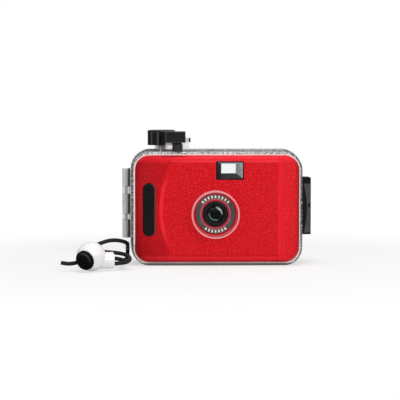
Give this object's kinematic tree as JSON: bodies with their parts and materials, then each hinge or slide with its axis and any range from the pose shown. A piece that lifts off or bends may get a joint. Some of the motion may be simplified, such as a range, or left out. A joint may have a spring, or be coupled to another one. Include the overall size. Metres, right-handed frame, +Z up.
{
  "type": "reusable film camera",
  "caption": "Reusable compact film camera with a red front, inside a clear hinged dive case with a winding knob, shutter lever, latch and wrist cord.",
  "frame": {"origin": "on the flat base of the clear case, at mid width and mid depth of its shells", "axes": "+X to the right seen from the front, +Y towards the back, +Z up"},
  "size_m": [0.1625, 0.0824, 0.0876],
  "materials": {
    "clear_case": "clear polycarbonate, polished",
    "clear_window": "clear acrylic",
    "lens_glass": "coated",
    "red_plastic": "metallic red, fine speckle, semi-gloss",
    "red_trim": "red, semi-gloss",
    "black_rubbery": "matt black, fine grain",
    "black_plastic": "black, satin",
    "dark_plastic": "dark grey, matt",
    "white_plastic": "white, semi-gloss",
    "ring_plastic": "black face with a pale pink rim",
    "grey_metal": "grey, satin",
    "steel": "plain",
    "black_steel": "black",
    "seal_rubber": "soft, dark",
    "black_cord": "braided"
  },
  "bodies": {
    "case": {"case_front_shell": "clear_case", "case_gasket": "seal_rubber", "case_hinge_pin": "steel", "knob_shaft_seal": "seal_rubber", "lever_pin": "black_steel", "plunger_seal": "seal_rubber", "plunger_spring": "steel", "camera_front_cover": "red_plastic", "grip_strip": "black_rubbery", "lens_barrel": "black_plastic", "lens_name_ring": "ring_plastic", "lens_trim_ring": "red_trim", "lens_front_glass": "lens_glass", "lens_rear_glass": "lens_glass", "aperture_plate": "steel", "viewfinder_frame": "black_plastic", "viewfinder_front_window": "clear_window", "viewfinder_eyepiece": "clear_window", "camera_chassis": "black_plastic", "cover_screws": "steel", "frame_counter_window": "clear_window", "button_spring": "steel", "film_hinge_pin": "steel", "door_light_seal": "seal_rubber", "wrist_cord": "black_cord", "cord_lock": "white_plastic"},
    "case_door": {"case_rear_door": "clear_case", "case_hinge_leaf": "grey_metal", "case_latch_pin": "steel"},
    "case_latch": {"case_latch": "black_plastic"},
    "film_door": {"film_door": "black_plastic", "pressure_plate": "black_steel", "pressure_spring": "steel"},
    "winding_knob": {"winding_knob": "black_plastic", "knob_shaft": "steel", "knob_shaft_clip": "steel"},
    "film_wind": {"wind_wheel": "dark_plastic", "take_up_spool": "dark_plastic"},
    "film_sprocket": {"film_sprocket": "dark_plastic"},
    "frame_counter": {"frame_counter_dial": "white_plastic"},
    "rewind_release": {"rewind_release_button": "dark_plastic"},
    "rewind_crank": {"rewind_crank": "dark_plastic", "rewind_handle": "dark_plastic", "rewind_fork": "dark_plastic"},
    "shutter_lever": {"shutter_lever": "black_plastic"},
    "plunger": {"plunger": "black_plastic", "plunger_clip": "steel"},
    "shutter_button": {"shutter_button": "black_plastic"},
    "release_lever": {"release_lever": "dark_plastic"},
    "shutter_blade": {"shutter_blade": "steel"},
    "cord_lock_button": {"cord_lock_button": "black_plastic"}
  },
  "joints": [
    {"name": "case_door_hinge", "type": "hinge", "parent": "case", "child": "case_door", "pos_m": [-0.0594, 0.01, 0.037], "axis": [0, 0, 1], "range_deg": [0, 110]},
    {"name": "case_latch_hinge", "type": "hinge", "parent": "case_door", "child": "case_latch", "pos_m": [0.06, 0.0136, 0.0373], "axis": [0, 0, 1], "range_deg": [0, 100]},
    {"name": "film_door_hinge", "type": "hinge", "parent": "case", "child": "film_door", "pos_m": [-0.052, 0.0129, 0.037], "axis": [0, 0, 1], "range_deg": [0, 93.5]},
    {"name": "winding_knob_turn", "type": "hinge", "parent": "case", "child": "winding_knob", "pos_m": [-0.036, 0.0034, 0.082], "axis": [0, 0, 1], "continuous": true},
    {"name": "film_wind_turn", "type": "hinge", "parent": "case", "child": "film_wind", "pos_m": [-0.036, 0.0034, 0.05], "axis": [0, 0, 1], "continuous": true},
    {"name": "film_sprocket_turn", "type": "hinge", "parent": "case", "child": "film_sprocket", "pos_m": [-0.0246, 0.007, 0.0336], "axis": [0, 0, 1], "continuous": true},
    {"name": "frame_counter_turn", "type": "hinge", "parent": "case", "child": "frame_counter", "pos_m": [-0.015, 0.004, 0.0695], "axis": [0, 0, 1], "continuous": true},
    {"name": "rewind_release_press", "type": "slide", "parent": "case", "child": "rewind_release", "axis": [0, 0, 1], "range_m": [0, 0.001], "stiffness_N_per_m": 200},
    {"name": "rewind_crank_turn", "type": "hinge", "parent": "case", "child": "rewind_crank", "pos_m": [0.0376, 0.0015, 0.069], "axis": [0, 0, 1], "continuous": true},
    {"name": "shutter_lever_press", "type": "hinge", "parent": "case", "child": "shutter_lever", "pos_m": [-0.0256, -0.0074, 0.0813], "axis": [1, 0, 0], "range_deg": [0, 18], "stiffness_Nm_per_rad": 0.02, "deforming": ["plunger_spring", "button_spring"]},
    {"name": "plunger_slide", "type": "slide", "parent": "case", "child": "plunger", "axis": [0, 0, -1], "range_m": [0, 0.0015]},
    {"name": "shutter_button_slide", "type": "slide", "parent": "case", "child": "shutter_button", "axis": [0, 0, -1], "range_m": [0, 0.0014]},
    {"name": "release_lever_turn", "type": "hinge", "parent": "case", "child": "release_lever", "pos_m": [-0.017, -0.0118, 0.05], "axis": [0, -1, 0], "range_deg": [0, 9.3]},
    {"name": "shutter_blade_turn", "type": "hinge", "parent": "case", "child": "shutter_blade", "pos_m": [-0.001, -0.00865, 0.0456], "axis": [0, 1, 0], "range_deg": [0, 28]},
    {"name": "cord_lock_button_press", "type": "slide", "parent": "case", "child": "cord_lock_button", "axis": [0.4986, 0.8299, 0.2504], "range_m": [0, 0.0014], "stiffness_N_per_m": 300}
  ],
  "couplings": [
    {"joint": "film_door_hinge", "follows": "case_door_hinge", "ratio": 0.85},
    {"joint": "film_wind_turn", "follows": "winding_knob_turn", "ratio": 1},
    {"joint": "film_sprocket_turn", "follows": "winding_knob_turn", "ratio": 1},
    {"joint": "frame_counter_turn", "follows": "winding_knob_turn", "ratio": 0.1},
    {"joint": "plunger_slide", "follows": "shutter_lever_press", "m_per_rad": 0.0047746},
    {"joint": "shutter_button_slide", "follows": "shutter_lever_press", "m_per_rad": 0.0044563},
    {"joint": "release_lever_turn", "follows": "shutter_lever_press", "ratio": 0.51667},
    {"joint": "shutter_blade_turn", "follows": "shutter_lever_press", "ratio": 1.5556}
  ]
}
